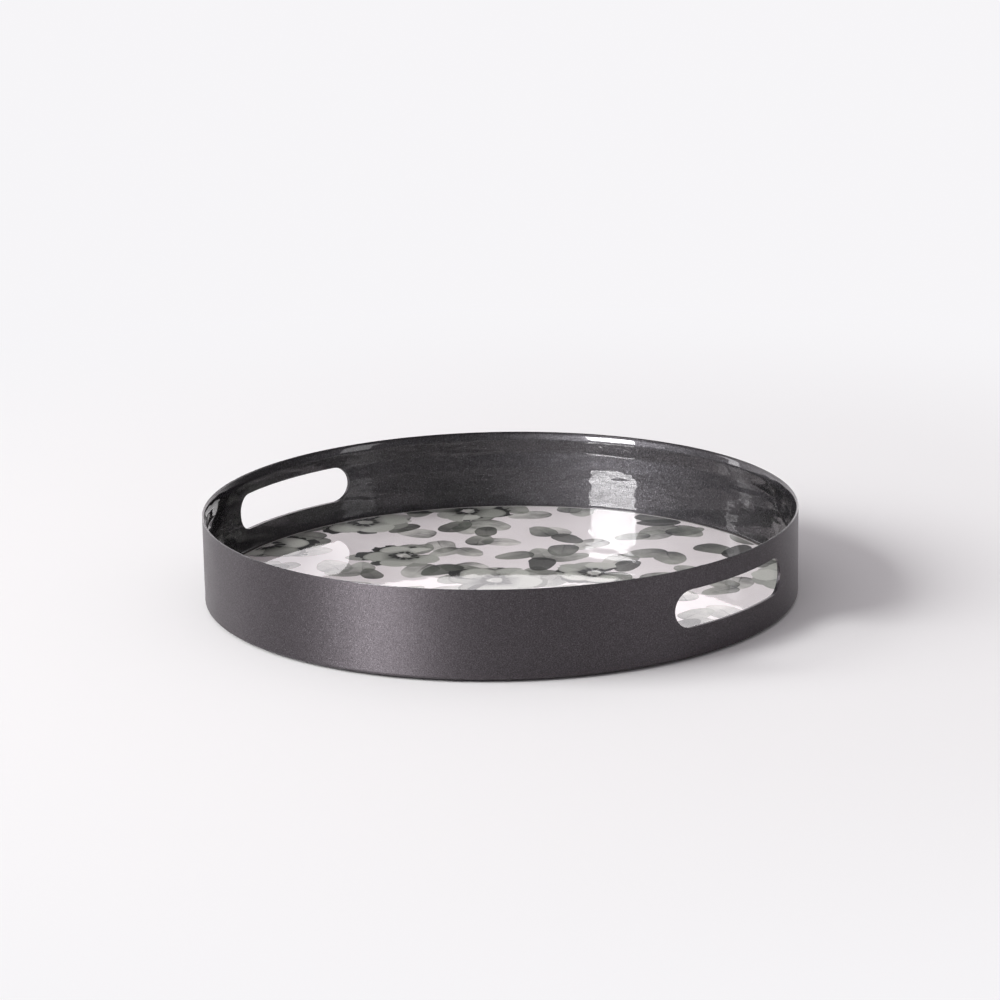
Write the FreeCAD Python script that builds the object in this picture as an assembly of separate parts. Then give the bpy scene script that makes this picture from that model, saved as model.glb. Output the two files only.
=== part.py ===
"""Round serving tray, built up from separate pieces.

A hoop of rolled sheet steel is turned in at its foot to make a narrow lip. A fibreboard
disc drops in from above and rests on that lip. A printed sheet lies on the board, and a
poured layer of clear resin seals it and runs out to the wall. A thick gloss lining covers
the inside of the hoop and runs over its top edge. Two hand slots go through the hoop and
its lining, and four rubber pads under the board keep the steel off the table.

Frame: millimetres, +Z up, origin on the table under the middle of the tray, and the two
hand slots on the X axis.
"""

import FreeCAD
import Part

import math
import os

# Overall sizes
outer_diameter = 380.0
wall_height = 56.0  # of the steel hoop, from the underside of its lip to its top edge

# Steel hoop
sheet_thickness = 1.2
bend_inner_radius = 0.8
lip_width = 8.0  # from the outside of the wall to the lip's free edge
seam_width = 1.6  # the weld that closes the hoop
seam_angle = 90.0  # degrees about +Z, clear of both hand slots

# Hand slots, one at each end of the X axis
slot_length = 106.0
slot_height = 24.0
slot_rim_distance = 13.0  # from the top edge of the steel down to the slot

# What lies on the lip
board_thickness = 3.0
board_clearance = 0.3
print_thickness = 0.2
print_margin = 2.0  # bare board left round the printed sheet
resin_depth = 0.8  # above the printed sheet

# Gloss lining
lining_thickness = 0.5
lining_edge_radius = 0.35
rim_land = 0.05  # straight stretch under each rounded corner of its top

# Rubber pads
pad_diameter = 18.0
pad_thickness = 2.5
pad_chamfer = 0.5
pad_setback = 32.0  # from the lip's free edge to the middle of a pad
pad_first_angle = 45.0
pad_names = ["pad_back_right", "pad_back_left", "pad_front_left", "pad_front_right"]

# Worked out from the sizes above
wall_radius = outer_diameter / 2
wall_inner_radius = wall_radius - sheet_thickness
bend_outer_radius = bend_inner_radius + sheet_thickness
lip_underside = pad_thickness - sheet_thickness
lip_top = lip_underside + sheet_thickness
steel_top = lip_underside + wall_height
lip_edge_radius = wall_radius - lip_width
pad_pitch_radius = lip_edge_radius - pad_setback

board_radius = wall_inner_radius - board_clearance
board_top = lip_top + board_thickness
print_radius = board_radius - print_margin
print_top = board_top + print_thickness
resin_top = print_top + resin_depth

lining_inner_radius = wall_inner_radius - lining_thickness
rim_top = steel_top + lining_edge_radius + rim_land
slot_top = steel_top - slot_rim_distance
slot_middle = slot_top - slot_height / 2


def vector(x, z):
    """A point of a section, in the XZ plane."""
    return FreeCAD.Vector(x, 0, z)


def line(start, end):
    return Part.LineSegment(vector(*start), vector(*end)).toShape()


def arc(start, middle, end):
    return Part.Arc(vector(*start), vector(*middle), vector(*end)).toShape()


def on_circle(centre, radius, degrees):
    angle = math.radians(degrees)
    return (centre[0] + radius * math.cos(angle), centre[1] + radius * math.sin(angle))


def revolved(edges):
    """The solid that a closed section makes in one turn about Z."""
    face = Part.Face(Part.Wire(edges))
    return face.revolve(FreeCAD.Vector(0, 0, 0), FreeCAD.Vector(0, 0, 1), 360)


def polygon_edges(points):
    return [line(a, b) for a, b in zip(points, points[1:] + points[:1])]


def slot_cutter():
    """A bar with round ends that goes through both sides of the hoop along X."""
    radius = slot_height / 2
    straight = slot_length - slot_height
    reach = 2 * outer_diameter
    bar = Part.makeBox(
        reach, straight, slot_height, FreeCAD.Vector(-reach / 2, -straight / 2, slot_middle - radius)
    )
    ends = [
        Part.makeCylinder(
            radius,
            reach,
            FreeCAD.Vector(-reach / 2, side * straight / 2, slot_middle),
            FreeCAD.Vector(1, 0, 0),
        )
        for side in (-1, 1)
    ]
    return bar.fuse(ends).removeSplitter()


def seam_block():
    """The upright slice of the hoop that the weld fills."""
    block = Part.makeBox(
        2 * lip_width,
        seam_width,
        2 * wall_height,
        FreeCAD.Vector(wall_radius - 1.5 * lip_width, -seam_width / 2, -wall_height / 2),
    )
    block.rotate(FreeCAD.Vector(0, 0, 0), FreeCAD.Vector(0, 0, 1), seam_angle)
    return block


def whole_hoop():
    """Wall, bend and lip in one, before the slots and the seam are cut."""
    bend_centre = (wall_radius - bend_outer_radius, lip_underside + bend_outer_radius)
    outer = [on_circle(bend_centre, bend_outer_radius, a) for a in (-90, -45, 0)]
    inner = [on_circle(bend_centre, bend_inner_radius, a) for a in (-90, -45, 0)]
    return revolved(
        [
            line((lip_edge_radius, lip_underside), outer[0]),
            arc(*outer),
            line(outer[2], (wall_radius, steel_top)),
            line((wall_radius, steel_top), (wall_inner_radius, steel_top)),
            line((wall_inner_radius, steel_top), inner[2]),
            arc(*reversed(inner)),
            line(inner[0], (lip_edge_radius, lip_top)),
            line((lip_edge_radius, lip_top), (lip_edge_radius, lip_underside)),
        ]
    )


def make_side_wall():
    return whole_hoop().cut(seam_block()).cut(slot_cutter())


def make_wall_seam():
    return whole_hoop().common(seam_block())


def make_wall_lining():
    """A sleeve against the wall that turns over the top edge of the steel with round corners."""
    radius = lining_edge_radius
    inner_corner = (lining_inner_radius + radius, rim_top - radius)
    outer_corner = (wall_radius - radius, rim_top - radius)
    inner = [on_circle(inner_corner, radius, a) for a in (180, 135, 90)]
    outer = [on_circle(outer_corner, radius, a) for a in (90, 45, 0)]
    sleeve = revolved(
        [
            line((lining_inner_radius, board_top), inner[0]),
            arc(*inner),
            line(inner[2], outer[0]),
            arc(*outer),
            line(outer[2], (wall_radius, steel_top)),
            line((wall_radius, steel_top), (wall_inner_radius, steel_top)),
            line((wall_inner_radius, steel_top), (wall_inner_radius, board_top)),
            line((wall_inner_radius, board_top), (lining_inner_radius, board_top)),
        ]
    )
    return sleeve.cut(slot_cutter())


def make_base_board():
    """The disc that rests on the lip, its lower corner eased to clear the bend in the steel."""
    ease = bend_inner_radius
    return revolved(
        polygon_edges(
            [
                (0, lip_top),
                (board_radius - ease, lip_top),
                (board_radius, lip_top + ease),
                (board_radius, board_top),
                (0, board_top),
            ]
        )
    )


def make_floor_print():
    return Part.makeCylinder(print_radius, print_thickness, FreeCAD.Vector(0, 0, board_top))


def make_floor_resin():
    """The poured layer: it wraps the sheet's edge and reaches down to the board all round."""
    return revolved(
        polygon_edges(
            [
                (0, print_top),
                (print_radius, print_top),
                (print_radius, board_top),
                (lining_inner_radius, board_top),
                (lining_inner_radius, resin_top),
                (0, resin_top),
            ]
        )
    )


def make_pad(angle):
    """A round rubber pad stuck to the underside of the board, its lower edge chamfered."""
    body = pad_thickness - pad_chamfer
    foot = Part.makeCone(pad_diameter / 2 - pad_chamfer, pad_diameter / 2, pad_chamfer)
    disc = Part.makeCylinder(pad_diameter / 2, body, FreeCAD.Vector(0, 0, pad_chamfer))
    pad = foot.fuse(disc).removeSplitter()
    place = math.radians(angle)
    pad.translate(
        FreeCAD.Vector(pad_pitch_radius * math.cos(place), pad_pitch_radius * math.sin(place), 0)
    )
    return pad


def main():
    pieces = {
        "side_wall": make_side_wall(),
        "wall_seam": make_wall_seam(),
        "wall_lining": make_wall_lining(),
        "base_board": make_base_board(),
        "floor_print": make_floor_print(),
        "floor_resin": make_floor_resin(),
    }
    for index, name in enumerate(pad_names):
        pieces[name] = make_pad(pad_first_angle + index * 360 / len(pad_names))

    os.makedirs("parts", exist_ok=True)
    for name, shape in pieces.items():
        if not shape.isValid():
            raise ValueError(f"{name} is not a valid solid")
        shape.exportStep(os.path.join("parts", f"{name}.step"))
        print(f"{name}: {len(shape.Solids)} solid, {shape.Volume:.0f} mm3")


main()
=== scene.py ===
import math

import bpy
from mathutils import Matrix, Vector


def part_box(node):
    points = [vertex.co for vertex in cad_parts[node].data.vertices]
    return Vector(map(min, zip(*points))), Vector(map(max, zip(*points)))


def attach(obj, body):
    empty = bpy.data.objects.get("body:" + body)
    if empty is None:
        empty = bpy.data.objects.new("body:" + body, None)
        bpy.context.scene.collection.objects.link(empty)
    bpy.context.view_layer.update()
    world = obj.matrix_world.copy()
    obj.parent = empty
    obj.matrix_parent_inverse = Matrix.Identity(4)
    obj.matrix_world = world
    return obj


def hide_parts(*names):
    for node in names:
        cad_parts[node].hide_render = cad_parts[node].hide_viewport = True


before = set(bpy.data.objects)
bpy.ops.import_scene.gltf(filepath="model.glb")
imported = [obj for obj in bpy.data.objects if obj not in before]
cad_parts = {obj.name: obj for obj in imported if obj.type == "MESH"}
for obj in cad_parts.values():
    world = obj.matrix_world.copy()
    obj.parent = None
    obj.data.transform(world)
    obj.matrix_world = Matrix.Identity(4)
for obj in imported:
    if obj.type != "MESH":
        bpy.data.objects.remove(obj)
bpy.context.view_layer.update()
print("frame loaded")

millimetre = 0.001
hair = 0.01 * millimetre  # points nearer than this count as one
smoothAngle = math.radians(40)  # faces that meet flatter than this are shaded as one
cloudStart = (0.013, 0.021, 0.0)  # where the ripples' cloud patterns start, off both axes
noiseRange = (0.3, 0.7)  # most of a noise's values lie between these
noiseMiddle = (0.35, 0.65)

# sizes that the frame gives
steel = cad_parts["side_wall"]
steelLow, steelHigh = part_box("side_wall")
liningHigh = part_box("wall_lining")[1]
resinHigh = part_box("floor_resin")[1]
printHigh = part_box("floor_print")[1]
outerRadius = steelHigh.x
innerRadius = resinHigh.x
steelTop = steelHigh.z
rimTop = liningHigh.z
floorTop = resinHigh.z


# helpers for shapes

def deselectAll():
    if bpy.context.mode != "OBJECT":
        bpy.ops.object.mode_set(mode="OBJECT")
    bpy.ops.object.select_all(action="DESELECT")


def makeActive(piece):
    deselectAll()
    piece.select_set(True)
    bpy.context.view_layer.objects.active = piece


def selectVertices(piece, wanted):
    bpy.ops.mesh.select_mode(type="VERT")
    bpy.ops.mesh.select_all(action="DESELECT")
    bpy.ops.object.mode_set(mode="OBJECT")
    for vertex in piece.data.vertices:
        vertex.select = wanted(vertex.co)
    bpy.ops.object.mode_set(mode="EDIT")


def groupVertices(piece, name, wanted):
    group = piece.vertex_groups.new(name=name)
    group.add([v.index for v in piece.data.vertices if wanted(v.co)], 1.0, "REPLACE")


def applyModifiers(piece):
    makeActive(piece)
    for modifier in list(piece.modifiers):
        bpy.ops.object.modifier_apply(modifier=modifier.name)


def shadeSmooth(piece):
    makeActive(piece)
    bpy.ops.object.shade_smooth_by_angle(angle=smoothAngle)


def drawSection(name, points):
    # one vertex, pulled from point to point in the XZ plane and back to the first
    deselectAll()
    bpy.ops.mesh.primitive_plane_add(size=millimetre, location=(points[0][0], 0, points[0][1]))
    piece = bpy.context.object
    piece.name = name
    bpy.ops.object.transform_apply(location=True, rotation=True, scale=True)
    bpy.ops.object.mode_set(mode="EDIT")
    bpy.ops.mesh.select_mode(type="VERT")
    bpy.ops.mesh.select_all(action="SELECT")
    bpy.ops.mesh.merge(type="CENTER")
    for here, there in zip(points, points[1:] + points[:1]):
        step = (there[0] - here[0], 0, there[1] - here[1])
        bpy.ops.mesh.extrude_region_move(TRANSFORM_OT_translate={"value": step})
    return piece


def spinSection(steps):
    bpy.ops.mesh.select_all(action="SELECT")
    bpy.ops.mesh.spin(
        steps=steps, angle=math.tau, center=(0, 0, 0), axis=(0, 0, 1), use_auto_merge=True
    )
    bpy.ops.mesh.select_all(action="SELECT")
    bpy.ops.mesh.remove_doubles(threshold=hair)
    bpy.ops.mesh.delete_loose()
    bpy.ops.mesh.select_all(action="SELECT")
    bpy.ops.mesh.normals_make_consistent(inside=False)
    bpy.ops.object.mode_set(mode="OBJECT")


def rippleSurface(piece, group, size, depth, name):
    # a cloud pattern, stretched to its size by an empty
    texture = bpy.data.textures.new(name, "CLOUDS")
    texture.noise_scale = 1.0
    texture.noise_depth = 1
    bpy.ops.object.empty_add(location=cloudStart)
    stretcher = bpy.context.object
    stretcher.scale = size
    bpy.context.view_layer.update()
    ripple = piece.modifiers.new(name, "DISPLACE")
    ripple.texture = texture
    ripple.texture_coords = "OBJECT"
    ripple.texture_coords_object = stretcher
    ripple.vertex_group = group
    ripple.strength = depth
    ripple.mid_level = 0.5
    applyModifiers(piece)
    bpy.data.objects.remove(stretcher)


# helpers for finishes

def newMaterial(name):
    material = bpy.data.materials.new(name)
    material.use_nodes = True
    material.node_tree.nodes.clear()
    return material, material.node_tree


def finishMaterial(material, shader):
    output = material.node_tree.nodes.new("ShaderNodeOutputMaterial")
    material.node_tree.links.new(shader, output.inputs["Surface"])
    return material


def dress(piece, material):
    piece.data.materials.clear()
    piece.data.materials.append(material)


def connect(tree, value, socket):
    if isinstance(value, bpy.types.NodeSocket):
        tree.links.new(value, socket)
    elif socket.type == "RGBA" and len(value) == 3:
        socket.default_value = (*value, 1)
    else:
        socket.default_value = value


def addNode(tree, kind, settings=None, **inputs):
    # inputs are named with spaces left out, and may be values or sockets
    node = tree.nodes.new(kind)
    for key, value in (settings or {}).items():
        setattr(node, key, value)
    for key, value in inputs.items():
        socket = next(s for s in node.inputs if s.name.replace(" ", "") == key and s.enabled)
        connect(tree, value, socket)
    return node


def maths(tree, operation, a, b=0.0, c=0.0, clamp=False):
    node = tree.nodes.new("ShaderNodeMath")
    node.operation = operation
    node.use_clamp = clamp
    for value, socket in zip((a, b, c), node.inputs):
        connect(tree, value, socket)
    return node.outputs[0]


def product(tree, first, *others):
    for other in others:
        first = maths(tree, "MULTIPLY", first, other)
    return first


def total(tree, first, *others):
    for other in others:
        first = maths(tree, "ADD", first, other)
    return first


def vectorMaths(tree, operation, *values):
    node = tree.nodes.new("ShaderNodeVectorMath")
    node.operation = operation
    for value, socket in zip(values, node.inputs):
        connect(tree, value, socket)
    return node.outputs["Value" if operation == "DOT_PRODUCT" else "Vector"]


def ramp(tree, value, low, high, toLow=0.0, toHigh=1.0, smooth=False):
    node = tree.nodes.new("ShaderNodeMapRange")
    node.interpolation_type = "SMOOTHSTEP" if smooth else "LINEAR"
    for given, socket in zip((value, low, high, toLow, toHigh), node.inputs):
        connect(tree, given, socket)
    return node.outputs[0]


def blendColour(tree, amount, under, over, how="MIX"):
    node = tree.nodes.new("ShaderNodeMix")
    node.data_type = "RGBA"
    node.blend_type = how
    connect(tree, amount, node.inputs[0])
    connect(tree, under, node.inputs[6])
    connect(tree, over, node.inputs[7])
    return node.outputs[2]


def mixShaders(tree, amount, under, over):
    mix = tree.nodes.new("ShaderNodeMixShader")
    for source, socket in zip((amount, under.outputs[0], over.outputs[0]), mix.inputs):
        tree.links.new(source, socket)
    return mix.outputs[0]


def objectPlace(tree):
    return tree.nodes.new("ShaderNodeTexCoord").outputs["Object"]


def noise(tree, place, scale, detail):
    node = addNode(tree, "ShaderNodeTexNoise", Vector=place, Scale=scale, Detail=detail)
    return node.outputs[0]


def bump(tree, height, strength, depth):
    node = addNode(tree, "ShaderNodeBump", Strength=strength, Distance=depth, Height=height)
    return node.outputs[0]


def flatAxes(tree, place):
    axes = addNode(tree, "ShaderNodeSeparateXYZ", Vector=place).outputs
    return axes[0], axes[1]


def flatRadius(tree, x, y):
    return maths(tree, "SQRT", maths(tree, "MULTIPLY_ADD", x, x, product(tree, y, y)))


def flakePaint(tree, place, look):
    # a mottled metallic ground, where some of the flakes sparkle and each has its own roughness
    flakes = addNode(tree, "ShaderNodeTexVoronoi", Vector=place, Scale=look["flakeScale"])
    flakes = flakes.outputs["Color"]
    mottle = noise(tree, place, look["mottleScale"], 2.0)
    chance = addNode(tree, "ShaderNodeSeparateColor", Color=flakes).outputs
    colour = blendColour(tree, ramp(tree, mottle, *noiseMiddle), look["deep"], look["base"])
    sparkle = ramp(tree, chance[0], *look["sparkleFrom"])
    colour = blendColour(tree, sparkle, colour, look["flake"])
    roughness = ramp(tree, chance[1], 0.0, 1.0, *look["roughness"])
    return flakes, mottle, colour, roughness


def leanFlakes(tree, flakes, lean, normal):
    # each flake faces a little to its own side
    tilt = vectorMaths(tree, "SUBTRACT", flakes, (0.5, 0.5, 0.5))
    tilt = vectorMaths(tree, "MULTIPLY_ADD", tilt, (lean, lean, lean), normal)
    return vectorMaths(tree, "NORMALIZE", tilt)


# the coat on the steel hoop and its seam

powderCoat = {
    "base": (0.116, 0.1055, 0.114),
    "deep": (0.067, 0.0595, 0.065),
    "flake": (0.17, 0.158, 0.17),
    "flakeScale": 3125.0,  # flakes to a metre
    "flakeLean": 0.10,
    "sparkleFrom": (0.90, 0.96),  # chances between which a flake comes to full brightness
    "mottleScale": 1500.0,
    "roughness": (0.46, 0.53),
    "cloudScale": 28.0,
    "cloudRoughness": 0.02,  # added and taken away in broad clouds
    "bumpStrength": 0.35,
    "bumpDepth": 0.06 * millimetre,
    "stretch": 0.66,  # how far its highlights are drawn out up the wall
    "stretchTurn": 0.25,
}


def makePowderCoat():
    material, tree = newMaterial("powderCoat")
    place = objectPlace(tree)
    flakes, mottle, colour, roughness = flakePaint(tree, place, powderCoat)
    cloud = noise(tree, place, powderCoat["cloudScale"], 3.0)
    change = powderCoat["cloudRoughness"]
    roughness = total(tree, roughness, ramp(tree, cloud, *noiseRange, -change, change))
    grain = bump(tree, mottle, powderCoat["bumpStrength"], powderCoat["bumpDepth"])
    tangent = addNode(tree, "ShaderNodeTangent", {"direction_type": "RADIAL", "axis": "Z"})
    shader = addNode(
        tree, "ShaderNodeBsdfPrincipled", BaseColor=colour, Metallic=1.0, Roughness=roughness,
        Normal=leanFlakes(tree, flakes, powderCoat["flakeLean"], grain),
        Anisotropic=powderCoat["stretch"], AnisotropicRotation=powderCoat["stretchTurn"],
        Tangent=tangent.outputs[0],
    )
    return finishMaterial(material, shader.outputs[0])


# the thick gloss lining, which sags down the wall and leans out over the rim

lining = {
    "rows": 64,  # up the inside of the wall
    "steps": 640,  # round the tray
    # how the coat sags: distance under its top edge and how far in it stands there, in mm
    "sags": [
        (0.6, -0.32), (4.4, 0.86), (5.2, 0.94), (6.0, 0.88), (13.8, -0.15), (14.8, -0.20),
        (15.8, -0.15), (24.0, 0.41), (25.5, 0.46), (28.0, 0.47), (60.0, 0.47),
    ],
    "crown": 0.9 * millimetre,  # how far it climbs from its inner face to its highest line
    "crownEdge": 0.25 * millimetre,  # that line's distance from the steel's outer face
    "crownShares": (0.0, 0.15, 0.3, 0.45, 0.6, 0.75, 0.9),  # of the way out to that line
    "crownCurve": 1.3,
    "intoFloor": 0.5 * millimetre,  # how far it reaches down into the resin
    "intoSteel": 0.5 * millimetre,  # how far its back lies in the sheet
    "rippleTop": 2 * millimetre,  # what is nearer to the rim has no ripples
    "rippleBack": 0.3 * millimetre,  # nor has what is further back than this
    "ripples": [
        # long low waves, then shorter ones: size round the wall, size up it, depth
        (0.070, 0.0120, 0.00024),
        (0.018, 0.0054, 0.00028),
    ],
    "slotSides": 96,  # of the round ends of the hand slots
    "slotSearch": 10 * millimetre,  # the slots lie further than this from foot and rim
    "base": (0.085, 0.082, 0.088),
    "deep": (0.050, 0.048, 0.052),
    "flake": (0.135, 0.132, 0.142),
    "flakeScale": 1900.0,
    "flakeLean": 0.16,
    "sparkleFrom": (0.90, 0.97),
    "mottleScale": 900.0,
    "roughness": (0.42, 0.55),
    "edgeTint": (0.15, 0.15, 0.15),
    "glossRoughness": 0.02,
    "glossIor": 1.45,
    "peelScale": 150.0,
    "peelStrength": 0.2,
    "peelDepth": 0.03 * millimetre,
}


def makeSlotCutter():
    # a bar with round ends through both slots, from the corners that the steel has there
    margin = lining["slotSearch"]
    corners = [
        v.co for v in steel.data.vertices
        if v.co.x > 0 and steelLow.z + margin < v.co.z < steelTop - margin
    ]
    bottom = min(p.z for p in corners)
    top = max(p.z for p in corners)
    reach = max(p.y for p in corners)
    radius = (top - bottom) / 2
    deselectAll()
    bpy.ops.mesh.primitive_cylinder_add(
        vertices=lining["slotSides"], radius=radius, depth=3 * outerRadius,
        location=(0, 0, (top + bottom) / 2), rotation=(0, math.pi / 2, 0),
    )
    cutter = bpy.context.object
    bpy.ops.object.transform_apply(location=True, rotation=True, scale=True)
    bpy.ops.object.mode_set(mode="EDIT")
    for side in (-1, 1):
        selectVertices(cutter, lambda p: p.y * side > radius * 0.01)
        bpy.ops.transform.translate(value=(0, side * (reach - radius), 0))
    bpy.ops.object.mode_set(mode="OBJECT")
    return cutter


def sagAt(drop):
    # a smooth curve through the sags, in metres
    points = lining["sags"]
    drop /= millimetre
    drop = min(max(drop, points[0][0]), points[-1][0])
    index = max(i for i in range(len(points) - 1) if points[i][0] <= drop)
    before, start = points[max(index - 1, 0)], points[index]
    end, after = points[index + 1], points[min(index + 2, len(points) - 1)]
    width = end[0] - start[0]
    leave = (end[1] - before[1]) / (end[0] - before[0]) * width
    arrive = (after[1] - start[1]) / (after[0] - start[0]) * width
    t = (drop - start[0]) / width
    return millimetre * (
        (2 * t**3 - 3 * t**2 + 1) * start[1] + (t**3 - 2 * t**2 + t) * leave
        + (3 * t**2 - 2 * t**3) * end[1] + (t**3 - t**2) * arrive
    )


def makeWallLining():
    start = floorTop - lining["intoFloor"]
    below = rimTop - lining["crown"]
    rows = lining["rows"]
    heights = [start + (below - start) * i / rows for i in range(rows)]
    section = [(innerRadius - sagAt(rimTop - z), z) for z in heights]
    # it leans out over the top of the steel, then rounds off flush with its outer face
    inner = innerRadius - sagAt(0.0)
    peak = outerRadius - lining["crownEdge"]
    for share in lining["crownShares"]:
        climb = 1 - (1 - share) ** lining["crownCurve"]
        section.append((inner + (peak - inner) * share, below + (rimTop - below) * climb))
    for turn in range(0, 91, 15):  # degrees of a quarter round
        angle = math.radians(turn)
        section.append((
            peak + lining["crownEdge"] * math.sin(angle),
            steelTop + (rimTop - steelTop) * math.cos(angle),
        ))
    back = innerRadius + lining["intoSteel"]
    section += [(back, steelTop), (back, start)]
    piece = drawSection("gloss_wall_lining", section)
    spinSection(lining["steps"])

    top = rimTop - lining["rippleTop"]
    reach = innerRadius + lining["rippleBack"]
    groupVertices(piece, "inside", lambda p: p.z < top and p.xy.length < reach)
    for index, (along, up, depth) in enumerate(lining["ripples"]):
        rippleSurface(piece, "inside", (along, along, up), depth, f"liningRipple{index}")

    cutter = makeSlotCutter()
    cut = piece.modifiers.new("slots", "BOOLEAN")
    cut.operation = "DIFFERENCE"
    cut.solver = "EXACT"
    cut.object = cutter
    applyModifiers(piece)
    bpy.data.objects.remove(cutter)
    shadeSmooth(piece)
    return piece


def makeGlossLining():
    # metallic flakes under a clear gloss that has a faint orange peel
    material, tree = newMaterial("glossLining")
    place = objectPlace(tree)
    flakes, _, colour, roughness = flakePaint(tree, place, lining)
    normal = tree.nodes.new("ShaderNodeNewGeometry").outputs["Normal"]
    peel = noise(tree, place, lining["peelScale"], 1.0)
    shader = addNode(
        tree, "ShaderNodeBsdfPrincipled", BaseColor=colour, Metallic=1.0, Roughness=roughness,
        Normal=leanFlakes(tree, flakes, lining["flakeLean"], normal),
        SpecularTint=lining["edgeTint"], CoatWeight=1.0, CoatRoughness=lining["glossRoughness"],
        CoatIOR=lining["glossIor"],
        CoatNormal=bump(tree, peel, lining["peelStrength"], lining["peelDepth"]),
    )
    return finishMaterial(material, shader.outputs[0])


# the poured resin over the printed sheet

resin = {
    "rings": 36,
    "steps": 320,
    "bite": 0.35 * millimetre,  # how far its edge runs into the uneven lining
    "meniscusWidth": 2.2 * millimetre,
    "meniscusHeight": 1.9 * millimetre,
    "meniscusSteps": 6,
    "gap": 0.05 * millimetre,  # over the printed sheet, so that no two faces share a plane
    "swell": 0.06 * millimetre,
    "swellSize": 55 * millimetre,
    "tint": (0.99, 0.99, 0.99),
    "ior": 1.5,
    "roughness": 0.03,
    "peelScale": 70.0,
    "peelStrength": 0.35,
    "peelDepth": 0.14 * millimetre,
}


def makeFloorResin():
    width, height = resin["meniscusWidth"], resin["meniscusHeight"]
    wallFace = innerRadius - sagAt(rimTop - floorTop) + resin["bite"]
    under = printHigh.z + resin["gap"]
    section = [(0.0, under), (wallFace, under)]
    # the hollow curve down the wall, then in along the top to the middle
    for i in range(resin["meniscusSteps"] + 1):
        angle = math.pi / 2 * i / resin["meniscusSteps"]
        section.append(
            (wallFace - width * (1 - math.cos(angle)), floorTop + height * (1 - math.sin(angle)))
        )
    rings = resin["rings"]
    inward = wallFace - width
    section += [(inward * (1 - i / rings), floorTop) for i in range(1, rings + 1)]
    piece = drawSection("clear_floor_resin", section)
    spinSection(resin["steps"])
    groupVertices(piece, "top", lambda p: abs(p.z - floorTop) < hair)
    rippleSurface(piece, "top", (resin["swellSize"],) * 3, resin["swell"], "resinSwell")
    shadeSmooth(piece)
    return piece


def makeResin():
    # light goes straight through, and only the outside of it shines
    material, tree = newMaterial("clearResin")
    peel = noise(tree, objectPlace(tree), resin["peelScale"], 1.0)
    normal = bump(tree, peel, resin["peelStrength"], resin["peelDepth"])
    clear = addNode(tree, "ShaderNodeBsdfTransparent", Color=resin["tint"])
    gloss = addNode(
        tree, "ShaderNodeBsdfAnisotropic", Color=(1.0, 1.0, 1.0),
        Roughness=resin["roughness"], Normal=normal,
    )
    fresnel = addNode(tree, "ShaderNodeFresnel", IOR=resin["ior"], Normal=normal)
    inside = tree.nodes.new("ShaderNodeNewGeometry").outputs["Backfacing"]
    amount = product(tree, fresnel.outputs[0], maths(tree, "SUBTRACT", 1.0, inside))
    return finishMaterial(material, mixShaders(tree, amount, clear, gloss))


# the printed sheet: layers of leaves, then open flowers, on an off-white ground

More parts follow.
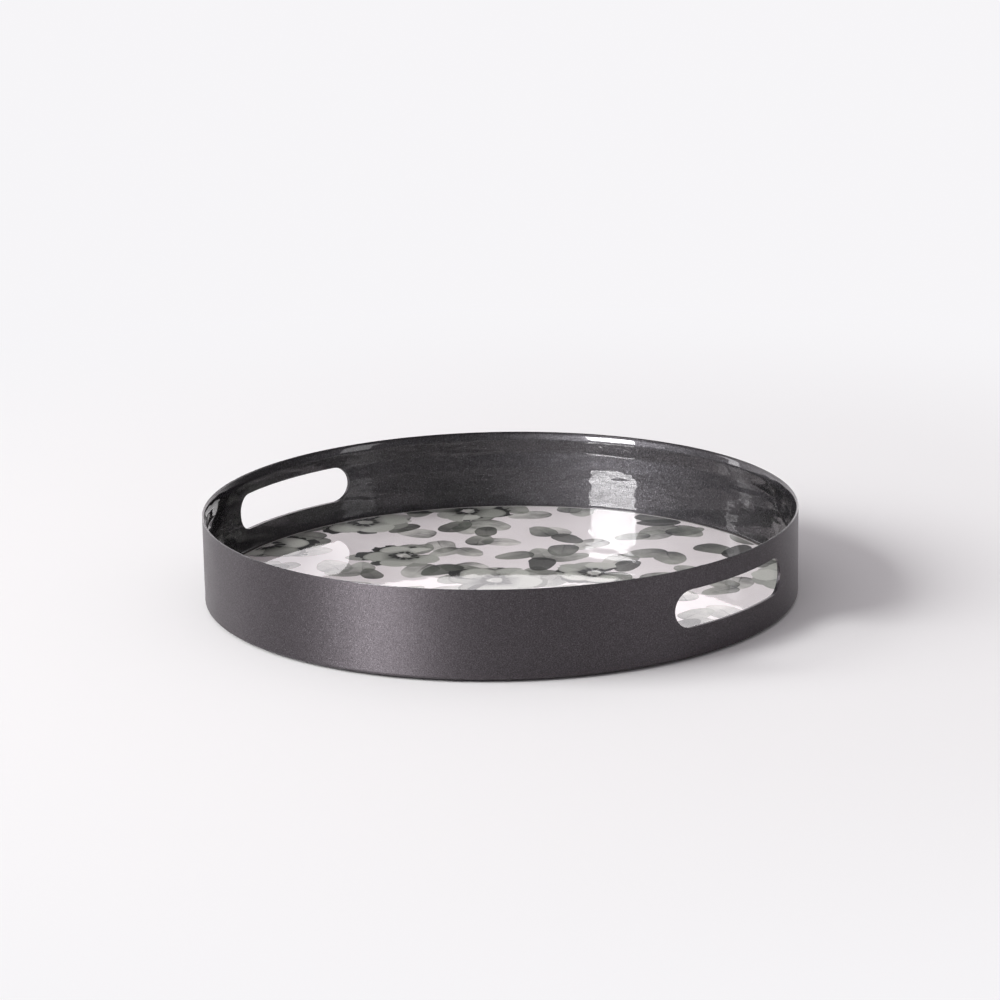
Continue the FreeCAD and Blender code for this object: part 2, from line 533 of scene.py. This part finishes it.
floorPrint = {
    "ground": (0.955, 0.90, 0.915),
    "groundShade": (0.89, 0.835, 0.85),
    "groundScale": 24.0,
    "groundFade": (0.40, 0.70),
    "margin": 1.4 * millimetre,
    "marginFade": 0.3 * millimetre,
    "marginTint": (0.62, 0.60, 0.60),
    "wander": 5.0 * millimetre,  # how far the drawing strays from true curves
    "wanderScale": 48.0,
    "loose": 0.30,  # how far each drawing strays from its place in the grid
    "ink": (0.010, 0.012, 0.010),
    "leafLayers": [
        {"spacing": 0.043, "length": 0.0165, "width": 0.0115, "pair": False, "share": 0.80,
         "pale": (0.80, 0.795, 0.76), "deep": (0.60, 0.61, 0.57),
         "shift": (0.31, -0.217), "turn": 0.4},
        {"spacing": 0.060, "length": 0.0150, "width": 0.0100, "pair": True, "share": 0.80,
         "pale": (0.64, 0.65, 0.605), "deep": (0.36, 0.375, 0.335),
         "shift": (0.62, -0.434), "turn": 1.1},
        {"spacing": 0.044, "length": 0.0150, "width": 0.0100, "pair": False, "share": 0.74,
         "pale": (0.50, 0.51, 0.47), "deep": (0.13, 0.145, 0.12),
         "shift": (0.17, -0.119), "turn": 2.0},
        {"spacing": 0.056, "length": 0.0150, "width": 0.0085, "pair": False, "share": 0.60,
         "pale": (0.24, 0.25, 0.22), "deep": (0.018, 0.022, 0.018),
         "shift": (0.87, -0.609), "turn": 2.7},
    ],
    "leafSizes": (0.78, 1.08),
    "leafBulge": 0.42,  # how much narrower it is at the tip than at the stalk
    "leafEdge": (0.94, 1.02),
    "leafCover": 0.93,
    "leafStain": 0.34,  # how much of it lets the drawing under it show through
    # where each shade starts and ends, as shares of the leaf, and how dark it is there
    "leafStalk": (-1.0, 0.6, 0.60, 0.0),
    "leafHalf": (-0.04, 0.04, 0.0, 0.14),
    "leafPool": (0.78, 0.98, 0.0, 0.16),
    "leafRib": (0.02, 0.07, 0.30, 0.0),
    "leafRibFade": (-0.3, 0.4, 1.0, 0.0),
    "leafBleed": (-0.14, 0.16),  # how unevenly its wash dries
    "leafBleedScale": 130.0,
    "pairLean": 0.72,
    "pairStalk": 0.8,  # in leaf lengths, as is the next
    "pairReach": 0.96,
    "flowers": {"spacing": 0.084, "shift": (0.178, -0.146), "turn": 0.35, "share": 0.72},
    "flowerSize": 33 * millimetre,
    "flowerSmallest": 0.82,  # of that size
    "petals": 5,
    "petalShare": 0.84,  # one is missing here and there
    "petalCover": 0.98,
    "petalTint": (0.66, 0.665, 0.62),
    "petalDeep": (0.34, 0.35, 0.315),
    "petalSizes": (0.84, 1.08),
    "petalMiddle": 0.56,  # from the flower's middle, as a share of its size
    "petalHalfLength": 0.42,
    "petalHalfWidth": 0.40,
    "petalEdge": (0.95, 1.01),
    "petalRim": (0.62, 1.0, 0.0, 0.5),  # shades, as for the leaves
    "petalLowSide": (0.25, -0.5, 0.0, 1.0),
    "petalThroat": (-0.05, -0.95, 0.0, 0.85),
    # a turned back ring, then the dark that shows past the front petals, then those petals
    "petalRings": [
        {"turn": 0.63, "aside": 0.0, "down": 0.0, "dark": 0.25, "ragged": False},
        {"turn": 0.0, "aside": 0.102, "down": 0.17, "dark": 1.0, "ragged": True},
        {"turn": 0.0, "aside": 0.0, "down": 0.0, "dark": 0.0, "ragged": False},
    ],
    "ragScale": 120.0,
    "ragOnPetals": (0.38, 0.62, -0.25, 0.40),
    "ragOnEye": 0.30,
    "eyeTint": (0.62, 0.62, 0.58),
    "eye": (0.14, 0.19, 0.7, 0.0),  # from the flower's middle, and how strong it is there
    "stamens": 11,
    "stamenTint": (0.008, 0.010, 0.008),
    "stamenCircle": 0.25,
    "stamenReach": (0.070, 0.105, 0.95, 0.0),  # from that circle
    "stamenDash": (0.28, 0.40, 1.0, 0.15),
    "grain": (0.2, 0.2, 0.2),
    "grainCover": 0.06,
    "grainScale": 1800.0,
    "roughness": (0.55, 0.7),
    "shine": 0.2,
}


def scattered(tree, where, layer):
    # one drawing to each cell of a loose grid: its own axes, turned at random, two chances of
    # its own, and whether it is kept
    moved = addNode(
        tree, "ShaderNodeMapping", Vector=where, Location=(*layer["shift"], 0),
        Rotation=(0, 0, layer["turn"]),
    ).outputs[0]
    cells = addNode(
        tree, "ShaderNodeTexVoronoi", {"voronoi_dimensions": "2D"}, Vector=moved,
        Scale=1 / layer["spacing"], Randomness=floorPrint["loose"],
    )
    chance = addNode(tree, "ShaderNodeSeparateColor", Color=cells.outputs["Color"]).outputs
    turned = addNode(
        tree, "ShaderNodeVectorRotate", {"rotation_type": "Z_AXIS"},
        Vector=vectorMaths(tree, "SUBTRACT", moved, cells.outputs["Position"]),
        Angle=product(tree, chance[0], math.tau),
    )
    x, y = flatAxes(tree, turned.outputs[0])
    return x, y, chance[0], chance[1], maths(tree, "LESS_THAN", chance[2], layer["share"])


def paintLeaves(tree, under, where, bleed, layer):
    length, width = layer["length"], layer["width"]
    along, across, _, own, kept = scattered(tree, where, layer)
    grow = ramp(tree, own, 0.0, 1.0, *floorPrint["leafSizes"])
    if layer["pair"]:
        # two leaves spring from one stalk, each leaning away from the middle
        cosine, sine = math.cos(floorPrint["pairLean"]), math.sin(floorPrint["pairLean"])
        along = total(tree, along, floorPrint["pairStalk"] * length)
        side = maths(tree, "ABSOLUTE", across)
        leaning = maths(tree, "MULTIPLY_ADD", along, cosine, product(tree, side, sine))
        across = maths(tree, "MULTIPLY_ADD", side, cosine, product(tree, along, -sine))
        stalk = product(tree, grow, length * floorPrint["pairReach"])
        along = maths(tree, "SUBTRACT", leaning, stalk)
    u = maths(tree, "DIVIDE", along, product(tree, grow, length))
    v = maths(tree, "DIVIDE", across, product(tree, grow, width))
    # an egg shape, broad at the stalk and drawn in at the tip
    bulge = maths(tree, "MULTIPLY_ADD", u, floorPrint["leafBulge"], 1.0)
    reach = maths(tree, "MULTIPLY_ADD", product(tree, v, v), bulge, product(tree, u, u))
    inside = ramp(tree, reach, *floorPrint["leafEdge"], 1.0, 0.0, smooth=True)
    amount = product(tree, inside, kept, floorPrint["leafCover"])
    # the wash is darker at the stalk, along one half, where it pools at the edge and by the rib
    dark = total(
        tree,
        ramp(tree, u, *floorPrint["leafStalk"]),
        ramp(tree, v, *floorPrint["leafHalf"]),
        ramp(tree, reach, *floorPrint["leafPool"]),
        bleed,
    )
    rib = ramp(tree, maths(tree, "ABSOLUTE", v), *floorPrint["leafRib"])
    rib = product(tree, rib, ramp(tree, u, *floorPrint["leafRibFade"]))
    dark = maths(tree, "ADD", dark, rib, clamp=True)
    tint = blendColour(tree, own, layer["pale"], layer["deep"])
    tint = blendColour(tree, dark, tint, floorPrint["ink"])
    stained = blendColour(tree, 1.0, under, tint, "MULTIPLY")
    tint = blendColour(tree, floorPrint["leafStain"], tint, stained)
    return blendColour(tree, amount, under, tint)


def paintPetals(tree, under, x, y, which, kept, rag, ring):
    left = maths(tree, "SUBTRACT", x, ring["aside"])
    low = total(tree, y, ring["down"])
    angle = maths(tree, "ARCTAN2", low, left)
    radius = flatRadius(tree, left, low)
    sector = math.tau / floorPrint["petals"]
    turn = maths(tree, "DIVIDE", total(tree, angle, ring["turn"] + math.tau), sector)
    folded = maths(tree, "SUBTRACT", maths(tree, "FRACT", turn), 0.5)
    folded = product(tree, folded, sector)
    # each petal of each flower has its own length and tint
    petal = addNode(
        tree, "ShaderNodeCombineXYZ", X=maths(tree, "FLOOR", turn), Y=which, Z=ring["turn"]
    )
    own = addNode(tree, "ShaderNodeTexWhiteNoise", Vector=petal.outputs[0]).outputs[0]
    u = product(tree, radius, maths(tree, "COSINE", folded))
    u = maths(tree, "DIVIDE", u, ramp(tree, own, 0.0, 1.0, *floorPrint["petalSizes"]))
    u = maths(tree, "SUBTRACT", u, floorPrint["petalMiddle"])
    u = maths(tree, "DIVIDE", u, floorPrint["petalHalfLength"])
    v = product(tree, radius, maths(tree, "SINE", folded))
    v = maths(tree, "DIVIDE", v, floorPrint["petalHalfWidth"])
    reach = maths(tree, "MULTIPLY_ADD", u, u, product(tree, v, v))
    if ring["ragged"]:
        # so that the dark breaks up into crescents and drops
        reach = total(tree, reach, ramp(tree, rag, *floorPrint["ragOnPetals"]))
    inside = ramp(tree, reach, *floorPrint["petalEdge"], 1.0, 0.0, smooth=True)
    # it is shaded at its edge on the flower's lower side, and towards the throat
    rim = ramp(tree, reach, *floorPrint["petalRim"])
    rim = product(tree, rim, ramp(tree, y, *floorPrint["petalLowSide"]))
    throat = ramp(tree, u, *floorPrint["petalThroat"])
    shade = maths(tree, "ADD", total(tree, rim, throat), ring["dark"], clamp=True)
    tint = blendColour(tree, own, floorPrint["petalTint"], floorPrint["petalDeep"])
    tint = blendColour(tree, shade, tint, floorPrint["ink"])
    there = maths(tree, "LESS_THAN", own, floorPrint["petalShare"])
    there = product(tree, there, floorPrint["petalCover"])
    colour = blendColour(tree, product(tree, inside, kept, there), under, tint)
    return colour, angle, radius


def paintFlowers(tree, under, where):
    x, y, which, own, kept = scattered(tree, where, floorPrint["flowers"])
    largest = floorPrint["flowerSize"]
    size = ramp(tree, own, 0.0, 1.0, floorPrint["flowerSmallest"] * largest, largest)
    x = maths(tree, "DIVIDE", x, size)
    y = maths(tree, "DIVIDE", y, size)
    rag = noise(tree, where, floorPrint["ragScale"], 1.0)
    colour = under
    for ring in floorPrint["petalRings"]:
        colour, angle, radius = paintPetals(tree, colour, x, y, which, kept, rag, ring)
    # ragged dark dashes of stamens round a pale eye
    rough = floorPrint["ragOnEye"]
    ragged = maths(tree, "SUBTRACT", radius, rough / 2)
    ragged = maths(tree, "MULTIPLY_ADD", rag, rough, ragged)
    eye = product(tree, ramp(tree, ragged, *floorPrint["eye"]), kept)
    colour = blendColour(tree, eye, colour, floorPrint["eyeTint"])
    circle = maths(tree, "SUBTRACT", ragged, floorPrint["stamenCircle"])
    circle = maths(tree, "ABSOLUTE", circle)
    dash = maths(tree, "FRACT", product(tree, angle, floorPrint["stamens"] / math.tau))
    dash = maths(tree, "ABSOLUTE", maths(tree, "SUBTRACT", dash, 0.5))
    stamens = product(
        tree, ramp(tree, circle, *floorPrint["stamenReach"]), kept,
        ramp(tree, dash, *floorPrint["stamenDash"]),
    )
    return blendColour(tree, stamens, colour, floorPrint["stamenTint"])


def makePrint():
    material, tree = newMaterial("leafPrint")
    place = objectPlace(tree)
    # a slow wander in the drawing keeps every edge a little uneven
    wander = addNode(
        tree, "ShaderNodeTexNoise", Vector=place, Scale=floorPrint["wanderScale"], Detail=2.0
    )
    stray = (floorPrint["wander"], floorPrint["wander"], 0.0)
    where = vectorMaths(tree, "MULTIPLY_ADD", wander.outputs["Color"], stray, place)
    wash = ramp(
        tree, noise(tree, place, floorPrint["groundScale"], 4.0), *floorPrint["groundFade"]
    )
    colour = blendColour(tree, wash, floorPrint["ground"], floorPrint["groundShade"])
    dried = noise(tree, place, floorPrint["leafBleedScale"], 3.0)
    bleed = ramp(tree, dried, *noiseMiddle, *floorPrint["leafBleed"])
    for layer in floorPrint["leafLayers"]:
        colour = paintLeaves(tree, colour, where, bleed, layer)
    colour = paintFlowers(tree, colour, where)
    # a plain margin round the sheet's edge
    radius = flatRadius(tree, *flatAxes(tree, place))
    margin = printHigh.x - floorPrint["margin"]
    bare = ramp(tree, radius, margin, margin + floorPrint["marginFade"])
    colour = blendColour(tree, bare, colour, floorPrint["marginTint"])
    grain = noise(tree, place, floorPrint["grainScale"], 2.0)
    cover = ramp(tree, grain, *noiseRange, 0.0, floorPrint["grainCover"])
    shader = addNode(
        tree, "ShaderNodeBsdfPrincipled",
        BaseColor=blendColour(tree, cover, colour, floorPrint["grain"]),
        Roughness=ramp(tree, grain, *noiseRange, *floorPrint["roughness"]),
        SpecularIORLevel=floorPrint["shine"],
    )
    return finishMaterial(material, shader.outputs[0])


# the stained fibreboard, seen from below

baseBoard = {
    "dark": (0.055, 0.045, 0.040),
    "light": (0.13, 0.11, 0.098),
    "fibreScale": (260.0, 900.0, 260.0),
    "blotch": (0.05, 0.042, 0.038),
    "blotchCover": 0.35,
    "blotchScale": 30.0,
    "blotchFade": (0.4, 0.7),
    "roughness": (0.75, 0.9),
    "bumpStrength": 0.5,
    "bumpDepth": 0.1 * millimetre,
}


def makeBoard():
    material, tree = newMaterial("stainedBoard")
    place = objectPlace(tree)
    stretch = addNode(tree, "ShaderNodeMapping", Vector=place, Scale=baseBoard["fibreScale"])
    fibre = noise(tree, stretch.outputs[0], 1.0, 4.0)
    blotch = noise(tree, place, baseBoard["blotchScale"], 3.0)
    streaks = ramp(tree, fibre, *noiseRange)
    colour = blendColour(tree, streaks, baseBoard["dark"], baseBoard["light"])
    cover = ramp(tree, blotch, *baseBoard["blotchFade"], 0.0, baseBoard["blotchCover"])
    shader = addNode(
        tree, "ShaderNodeBsdfPrincipled",
        BaseColor=blendColour(tree, cover, colour, baseBoard["blotch"]),
        Normal=bump(tree, fibre, baseBoard["bumpStrength"], baseBoard["bumpDepth"]),
        Roughness=ramp(tree, fibre, *noiseRange, *baseBoard["roughness"]),
    )
    return finishMaterial(material, shader.outputs[0])


# the rubber pads

padRubber = {
    "base": (0.030, 0.030, 0.032),
    "dust": (0.060, 0.059, 0.058),
    "dustScale": 170.0,
    "dustFade": (0.45, 0.75),
    "gritScale": 1600.0,
    "roughness": (0.7, 0.85),
    "bumpStrength": 0.4,
    "bumpDepth": 0.08 * millimetre,
}


def makeRubber():
    material, tree = newMaterial("rubberPad")
    place = objectPlace(tree)
    grit = noise(tree, place, padRubber["gritScale"], 2.0)
    dust = noise(tree, place, padRubber["dustScale"], 3.0)
    dust = ramp(tree, dust, *padRubber["dustFade"])
    shader = addNode(
        tree, "ShaderNodeBsdfPrincipled",
        BaseColor=blendColour(tree, dust, padRubber["base"], padRubber["dust"]),
        Normal=bump(tree, grit, padRubber["bumpStrength"], padRubber["bumpDepth"]),
        Roughness=ramp(tree, grit, *noiseRange, *padRubber["roughness"]),
    )
    return finishMaterial(material, shader.outputs[0])


# the camera

camera = {
    "distance": 2.4,
    "azimuth": 40.7,
    "elevation": 16.6,
    "lens": 134.4,
    "sensor": 36,
    "farthest": 50,  # metres
    "rise": 1.37,  # degrees that it looks above the tray's foot
    "roll": -1.06,
}


def sideways(angle):
    # a level direction, turned by an angle from the camera's own side of the tray
    turn = math.radians(camera["azimuth"] + angle)
    return Vector((math.sin(turn), -math.cos(turn), 0))


def raised(angle, rise):
    climb = math.radians(rise)
    return sideways(angle) * math.cos(climb) + Vector((0, 0, math.sin(climb)))


def placeCamera():
    data = bpy.data.cameras.new("camera")
    data.lens = camera["lens"]
    data.sensor_width = camera["sensor"]
    data.clip_end = camera["farthest"]
    view = bpy.data.objects.new("camera", data)
    bpy.context.scene.collection.objects.link(view)
    away = raised(0, camera["elevation"])
    aim = Vector((0, 0, steelLow.z))
    forward = -away
    right = forward.cross(Vector((0, 0, 1))).normalized()
    up = right.cross(forward)
    lift = math.radians(camera["rise"])
    forward = forward * math.cos(lift) + up * math.sin(lift)
    up = right.cross(forward)
    roll = math.radians(camera["roll"])
    across = right * math.cos(roll) + up * math.sin(roll)
    over = up * math.cos(roll) - right * math.sin(roll)
    turn = Matrix((across, over, -forward)).transposed().to_quaternion()
    view.matrix_world = Matrix.LocRotScale(aim + away * camera["distance"], turn, None)
    bpy.context.scene.camera = view


# the table, the lamps and what is round about

studio = {
    # a lamp's angle is from the camera's own side, and it lights either matt or shining things
    "lamps": {
        "key": {
            "angle": -47.5, "rise": 18.1, "distance": 6.0, "width": 1.98, "height": 1.6,
            "power": 475, "colour": (1.0, 0.99, 1.0), "lights": "glossy",
        },
        "window": {
            "angle": -79, "rise": 29, "distance": 6.0, "width": 4.4, "height": 3.0,
            "power": 425, "colour": (0.99, 1.0, 0.985), "lights": "diffuse",
        },
        "side": {
            "angle": -110, "rise": 16, "distance": 3.0, "width": 0.36, "height": 1.5,
            "power": 9, "colour": (1.0, 0.98, 1.0), "lights": "glossy",
        },
        "fill": {
            "angle": 61.5, "rise": 25, "distance": 3.0, "width": 0.76, "height": 1.3,
            "power": 9, "colour": (1.0, 0.98, 1.0), "lights": "glossy",
        },
    },
    "surroundings": (1.0, 0.955, 0.985),
    "softFrom": -78,  # the side that the soft light comes from
    "softLow": 0.38,
    "softHigh": 0.66,
    "softFade": (-0.8, 0.8),
    "dimSide": 0.13,  # of what a mirror sees of the room on the camera's side
    "backdrop": 1.8,  # and of what it sees behind the tray
    "backdropFrom": -164,
    "backdropFade": (0.25, 0.85),
    "ceiling": 0.10,  # and of what it sees overhead
    "ceilingFade": (0.5, 0.8),
    "tableColour": (0.88, 0.872, 0.88),
    "tableHaze": (0.8, 0.8, 0.8),
    "tableHazeCover": 0.03,
    "tableHazeScale": 1.5,
    "tableRadius": 9.0,
    "tableSides": 128,
    "tableDrop": 0.2 * millimetre,
    "farTable": (0.925, 0.915, 0.935),
    "farFade": (0.30, 0.85),  # metres from the tray's middle
}


def seenDirectly(tree):
    rays = tree.nodes.new("ShaderNodeLightPath").outputs
    seen = maths(tree, "MAXIMUM", rays["Is Camera Ray"], rays["Is Glossy Ray"])
    return maths(tree, "MAXIMUM", seen, rays["Is Transmission Ray"])


def makeTable():
    deselectAll()
    bpy.ops.mesh.primitive_circle_add(
        vertices=studio["tableSides"], radius=studio["tableRadius"], fill_type="TRIFAN",
        location=(0, 0, -studio["tableDrop"]),
    )
    table = bpy.context.object
    table.name = "table_top"
    bpy.ops.object.transform_apply(location=True, rotation=True, scale=True)
    material, tree = newMaterial("paleTable")
    place = objectPlace(tree)
    haze = noise(tree, place, studio["tableHazeScale"], 1.0)
    haze = ramp(tree, haze, *noiseRange, 0.0, studio["tableHazeCover"])
    colour = blendColour(tree, haze, studio["tableColour"], studio["tableHaze"])
    near = addNode(tree, "ShaderNodeBsdfDiffuse", Color=colour)
    # far from the tray it runs out into a plain white ground, for what looks at it directly
    far = addNode(tree, "ShaderNodeEmission", Color=studio["farTable"], Strength=1.0)
    radius = flatRadius(tree, *flatAxes(tree, place))
    amount = ramp(tree, radius, *studio["farFade"], smooth=True)
    amount = product(tree, amount, seenDirectly(tree))
    finishMaterial(material, mixShaders(tree, amount, near, far))
    dress(table, material)


def addLamp(name, lamp):
    data = bpy.data.lights.new(name, "AREA")
    data.shape = "RECTANGLE"
    data.size = lamp["width"]
    data.size_y = lamp["height"]
    data.energy = lamp["power"]
    data.color = lamp["colour"]
    light = bpy.data.objects.new(name, data)
    bpy.context.scene.collection.objects.link(light)
    light.visible_diffuse = lamp["lights"] == "diffuse"
    light.visible_glossy = lamp["lights"] == "glossy"
    way = raised(lamp["angle"], lamp["rise"])
    light.location = way * lamp["distance"]
    light.rotation_euler = way.to_track_quat("Z", "Y").to_euler()


def makeSurroundings():
    world = bpy.data.worlds.new("surroundings")
    bpy.context.scene.world = world
    world.use_nodes = True
    tree = world.node_tree
    tree.nodes.clear()
    # a mirror sees a white backdrop behind the tray, a dimmer room on the camera's side and a
    # dark ceiling; matt things get a soft light that is stronger from one side
    way = tree.nodes.new("ShaderNodeTexCoord").outputs["Generated"]
    backward = vectorMaths(tree, "DOT_PRODUCT", way, sideways(studio["backdropFrom"]))
    room = ramp(
        tree, backward, *studio["backdropFade"], studio["dimSide"], studio["backdrop"],
        smooth=True,
    )
    height = vectorMaths(tree, "DOT_PRODUCT", way, (0, 0, 1))
    overhead = ramp(tree, height, *studio["ceilingFade"], 1.0, studio["ceiling"])
    room = product(tree, room, overhead)
    direct = tree.nodes.new("ShaderNodeLightPath").outputs["Is Camera Ray"]
    room = ramp(tree, direct, 0.0, 1.0, room, 1.0)
    soft = vectorMaths(tree, "DOT_PRODUCT", way, sideways(studio["softFrom"]))
    soft = ramp(tree, soft, *studio["softFade"], studio["softLow"], studio["softHigh"])
    light = addNode(
        tree, "ShaderNodeBackground", Color=studio["surroundings"],
        Strength=ramp(tree, seenDirectly(tree), 0.0, 1.0, soft, room),
    )
    output = tree.nodes.new("ShaderNodeOutputWorld")
    tree.links.new(light.outputs[0], output.inputs[0])


placeCamera()
makeTable()
for name, lamp in studio["lamps"].items():
    addLamp(name, lamp)
makeSurroundings()
bpy.context.scene.view_settings.view_transform = "Standard"
print("studio ready")

coat = makePowderCoat()
gloss = makeGlossLining()
rubber = makeRubber()
for name in ("side_wall", "wall_seam"):
    dress(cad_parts[name], coat)
dress(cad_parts["base_board"], makeBoard())
dress(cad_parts["floor_print"], makePrint())
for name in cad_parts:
    if name.startswith("pad_"):
        dress(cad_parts[name], rubber)
print("finishes ready")

wallLining = makeWallLining()
dress(wallLining, gloss)
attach(wallLining, "root")
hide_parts("wall_lining")
print("lining", len(wallLining.data.polygons))

floorResin = makeFloorResin()
dress(floorResin, makeResin())
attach(floorResin, "root")
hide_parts("floor_resin")
print("resin", len(floorResin.data.polygons))
